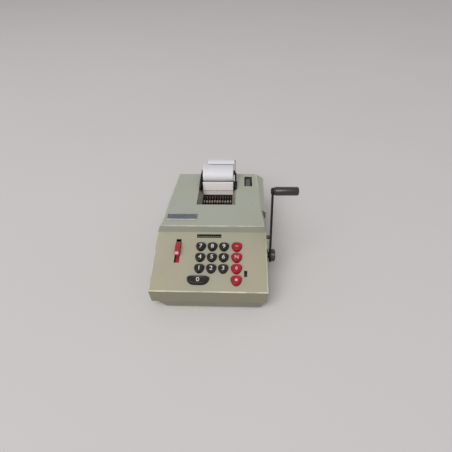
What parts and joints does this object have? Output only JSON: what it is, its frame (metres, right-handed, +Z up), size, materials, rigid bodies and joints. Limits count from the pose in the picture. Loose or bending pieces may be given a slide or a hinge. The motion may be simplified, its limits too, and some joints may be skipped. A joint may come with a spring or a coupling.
{
  "type": "mechanical calculator",
  "caption": "Hand-cranked ten-key adding machine with a side crank, red function keys, paper roll, platen, type sectors and a removable metal cover.",
  "frame": {"origin": "on the table, in the middle of the box around the whole machine, crank grip and paper roll included", "axes": "+X to the operator's right, the crank side; +Y away from the operator, towards the paper roll; +Z up"},
  "size_m": [0.2322, 0.2662, 0.1584],
  "materials": {
    "tray_paint": "satin enamel, slightly worn",
    "case_paint": "fine stoved enamel",
    "cover_paint": "fine stoved enamel, grey-green",
    "nameplate_metal": "brushed sheet",
    "rubber_black": "moulded rubber",
    "screw_steel": "nickel plated",
    "frame_steel": "zinc plated sheet",
    "type_steel": "blackened and inked",
    "shaft_steel": "ground bar",
    "gear_brass": "cut brass",
    "black_paint": "semi-gloss black enamel",
    "hub_grey": "worn grey-brown enamel",
    "stop_brown": "hard rubber",
    "key_black": "moulded, polished",
    "key_red": "moulded, polished",
    "grip_dark": "moulded, dark brown",
    "wheel_grey": "moulded grey",
    "spool_metal": "dark painted sheet",
    "paper_white": "uncoated paper",
    "core_card": "wound card",
    "ribbon_ink": "inked cloth",
    "guide_clear": "clear sheet"
  },
  "bodies": {
    "housing": {"base_pan": "tray_paint", "rubber_feet": "rubber_black", "base_screws": "screw_steel", "lower_case": "case_paint", "case_screws": "screw_steel", "top_cover": "cover_paint", "nameplate": "nameplate_metal", "left_frame": "frame_steel", "right_frame": "frame_steel", "cross_members": "frame_steel", "tie_rods": "shaft_steel", "key_guide_plate": "frame_steel", "column_scale": "black_paint", "carriage_rails": "shaft_steel", "crank_bushing": "hub_grey", "crank_stop": "stop_brown", "lever_pin": "shaft_steel", "type_shaft": "shaft_steel", "platen_cheeks": "black_paint", "roll_arms": "black_paint", "roll_spindle": "shaft_steel", "paper_guide": "guide_clear", "paper_web": "paper_white", "ribbon_brackets": "frame_steel", "ribbon": "ribbon_ink"},
    "key_0": {"key_0": "key_black"},
    "key_1": {"key_1": "key_black"},
    "key_2": {"key_2": "key_black"},
    "key_3": {"key_3": "key_black"},
    "key_4": {"key_4": "key_black"},
    "key_5": {"key_5": "key_black"},
    "key_6": {"key_6": "key_black"},
    "key_7": {"key_7": "key_black"},
    "key_8": {"key_8": "key_black"},
    "key_9": {"key_9": "key_black"},
    "key_total": {"key_total": "key_red"},
    "key_subtotal": {"key_subtotal": "key_red"},
    "key_non_add": {"key_non_add": "key_red"},
    "key_subtract": {"key_subtract": "key_red"},
    "repeat_lever": {"repeat_lever": "key_red"},
    "crank": {"crank_arm": "black_paint", "crank_shaft": "shaft_steel", "crank_gear": "gear_brass", "hub_cap": "hub_grey", "grip_pin": "shaft_steel"},
    "crank_grip": {"crank_grip": "grip_dark"},
    "main_drive": {"main_shaft": "shaft_steel", "main_gear": "gear_brass", "main_cams": "shaft_steel"},
    "type_sectors": {"type_sectors": "type_steel"},
    "register": {"register_wheels": "frame_steel"},
    "platen": {"platen": "rubber_black", "platen_shaft": "shaft_steel", "feed_thumbwheel": "wheel_grey"},
    "pressure_roller": {"pressure_roller": "rubber_black"},
    "paper_roll": {"paper_roll": "paper_white", "roll_core": "core_card"},
    "ribbon_spool_left": {"ribbon_spool_left": "spool_metal"},
    "ribbon_spool_right": {"ribbon_spool_right": "spool_metal"},
    "pin_carriage": {"pin_carriage": "frame_steel"}
  },
  "joints": [
    {"name": "key_0_press", "type": "slide", "parent": "housing", "child": "key_0", "axis": [0, 0.2588, -0.9659], "range_m": [0, 0.004], "stiffness_N_per_m": 150, "springref_m": -0.003},
    {"name": "key_1_press", "type": "slide", "parent": "housing", "child": "key_1", "axis": [0, 0.2588, -0.9659], "range_m": [0, 0.004], "stiffness_N_per_m": 150, "springref_m": -0.003},
    {"name": "key_2_press", "type": "slide", "parent": "housing", "child": "key_2", "axis": [0, 0.2588, -0.9659], "range_m": [0, 0.004], "stiffness_N_per_m": 150, "springref_m": -0.003},
    {"name": "key_3_press", "type": "slide", "parent": "housing", "child": "key_3", "axis": [0, 0.2588, -0.9659], "range_m": [0, 0.004], "stiffness_N_per_m": 150, "springref_m": -0.003},
    {"name": "key_4_press", "type": "slide", "parent": "housing", "child": "key_4", "axis": [0, 0.2588, -0.9659], "range_m": [0, 0.004], "stiffness_N_per_m": 150, "springref_m": -0.003},
    {"name": "key_5_press", "type": "slide", "parent": "housing", "child": "key_5", "axis": [0, 0.2588, -0.9659], "range_m": [0, 0.004], "stiffness_N_per_m": 150, "springref_m": -0.003},
    {"name": "key_6_press", "type": "slide", "parent": "housing", "child": "key_6", "axis": [0, 0.2588, -0.9659], "range_m": [0, 0.004], "stiffness_N_per_m": 150, "springref_m": -0.003},
    {"name": "key_7_press", "type": "slide", "parent": "housing", "child": "key_7", "axis": [0, 0.2588, -0.9659], "range_m": [0, 0.004], "stiffness_N_per_m": 150, "springref_m": -0.003},
    {"name": "key_8_press", "type": "slide", "parent": "housing", "child": "key_8", "axis": [0, 0.2588, -0.9659], "range_m": [0, 0.004], "stiffness_N_per_m": 150, "springref_m": -0.003},
    {"name": "key_9_press", "type": "slide", "parent": "housing", "child": "key_9", "axis": [0, 0.2588, -0.9659], "range_m": [0, 0.004], "stiffness_N_per_m": 150, "springref_m": -0.003},
    {"name": "key_total_press", "type": "slide", "parent": "housing", "child": "key_total", "axis": [0, 0.2588, -0.9659], "range_m": [0, 0.004], "stiffness_N_per_m": 150, "springref_m": -0.003},
    {"name": "key_subtotal_press", "type": "slide", "parent": "housing", "child": "key_subtotal", "axis": [0, 0.2588, -0.9659], "range_m": [0, 0.004], "stiffness_N_per_m": 150, "springref_m": -0.003},
    {"name": "key_non_add_press", "type": "slide", "parent": "housing", "child": "key_non_add", "axis": [0, 0.2588, -0.9659], "range_m": [0, 0.004], "stiffness_N_per_m": 150, "springref_m": -0.003},
    {"name": "key_subtract_press", "type": "slide", "parent": "housing", "child": "key_subtract", "axis": [0, 0.2588, -0.9659], "range_m": [0, 0.004], "stiffness_N_per_m": 150, "springref_m": -0.003},
    {"name": "repeat_lever_tilt", "type": "hinge", "parent": "housing", "child": "repeat_lever", "pos_m": [-0.07645, -0.0548, 0.03179], "axis": [1, 0, 0], "range_deg": [-8, 8]},
    {"name": "crank_pull", "type": "hinge", "parent": "housing", "child": "crank", "pos_m": [0.07575, -0.05214, 0.045], "axis": [1, 0, 0], "range_deg": [0, 95], "stiffness_Nm_per_rad": 0.15, "springref_deg": -45.84},
    {"name": "grip_spin", "type": "hinge", "parent": "crank", "child": "crank_grip", "pos_m": [0.09625, -0.01753, 0.15152], "axis": [1, 0, 0], "continuous": true},
    {"name": "main_drive_turn", "type": "hinge", "parent": "housing", "child": "main_drive", "pos_m": [0.06175, -0.02014, 0.045], "axis": [1, 0, 0], "range_deg": [-95, 0]},
    {"name": "type_lift", "type": "hinge", "parent": "housing", "child": "type_sectors", "pos_m": [-0.01875, 0.02186, 0.062], "axis": [1, 0, 0], "range_deg": [0, 18]},
    {"name": "register_turn", "type": "hinge", "parent": "housing", "child": "register", "pos_m": [-0.01875, -0.00314, 0.026], "axis": [1, 0, 0], "range_deg": [-120, 0]},
    {"name": "platen_feed", "type": "hinge", "parent": "housing", "child": "platen", "pos_m": [-0.01875, 0.10186, 0.065], "axis": [1, 0, 0], "continuous": true},
    {"name": "pressure_roller_turn", "type": "hinge", "parent": "housing", "child": "pressure_roller", "pos_m": [-0.01875, 0.10186, 0.0464], "axis": [1, 0, 0], "continuous": true},
    {"name": "paper_roll_turn", "type": "hinge", "parent": "housing", "child": "paper_roll", "pos_m": [-0.01875, 0.11486, 0.102], "axis": [1, 0, 0], "continuous": true},
    {"name": "spool_left_turn", "type": "hinge", "parent": "housing", "child": "ribbon_spool_left", "pos_m": [-0.07475, 0.05286, 0.06], "axis": [0, 0, 1], "continuous": true},
    {"name": "spool_right_turn", "type": "hinge", "parent": "housing", "child": "ribbon_spool_right", "pos_m": [0.03725, 0.05286, 0.06], "axis": [0, 0, 1], "continuous": true},
    {"name": "carriage_travel", "type": "slide", "parent": "housing", "child": "pin_carriage", "axis": [-1, 0, 0], "range_m": [0, 0.045]}
  ],
  "couplings": [
    {"joint": "main_drive_turn", "follows": "crank_pull", "ratio": -1},
    {"joint": "type_lift", "follows": "crank_pull", "ratio": 0.18},
    {"joint": "register_turn", "follows": "crank_pull", "ratio": -1.2},
    {"joint": "pressure_roller_turn", "follows": "platen_feed", "ratio": -2.6},
    {"joint": "spool_right_turn", "follows": "spool_left_turn", "ratio": 1}
  ]
}
